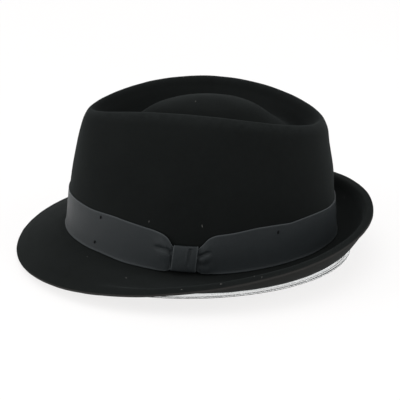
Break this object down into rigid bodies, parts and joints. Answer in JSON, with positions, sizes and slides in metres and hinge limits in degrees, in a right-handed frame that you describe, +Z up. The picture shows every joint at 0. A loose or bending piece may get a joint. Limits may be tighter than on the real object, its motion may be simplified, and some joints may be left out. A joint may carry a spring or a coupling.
{
  "type": "felt trilby hat on a clear ring stand",
  "caption": "Short-brimmed felt trilby with a teardrop crown, ribbon band and flat bow, its brim turned up at the back, resting on a low clear ring stand.",
  "frame": {"origin": "centre of the bounding box at the table, under the stand's foot", "axes": "+Z up, -Y towards the front of the hat, +X towards the side that carries the bow"},
  "size_m": [0.258, 0.2743, 0.1218],
  "materials": {
    "felt": "matt wool felt with a fine nap",
    "ribbon": "ribbed grosgrain ribbon with a soft sheen",
    "clear_plastic": "clear glossy plastic"
  },
  "bodies": {
    "root": {"felt_body": "felt", "hat_band": "ribbon", "bow_knot": "ribbon", "clear_ring_stand": "clear_plastic"}
  },
  "joints": []
}
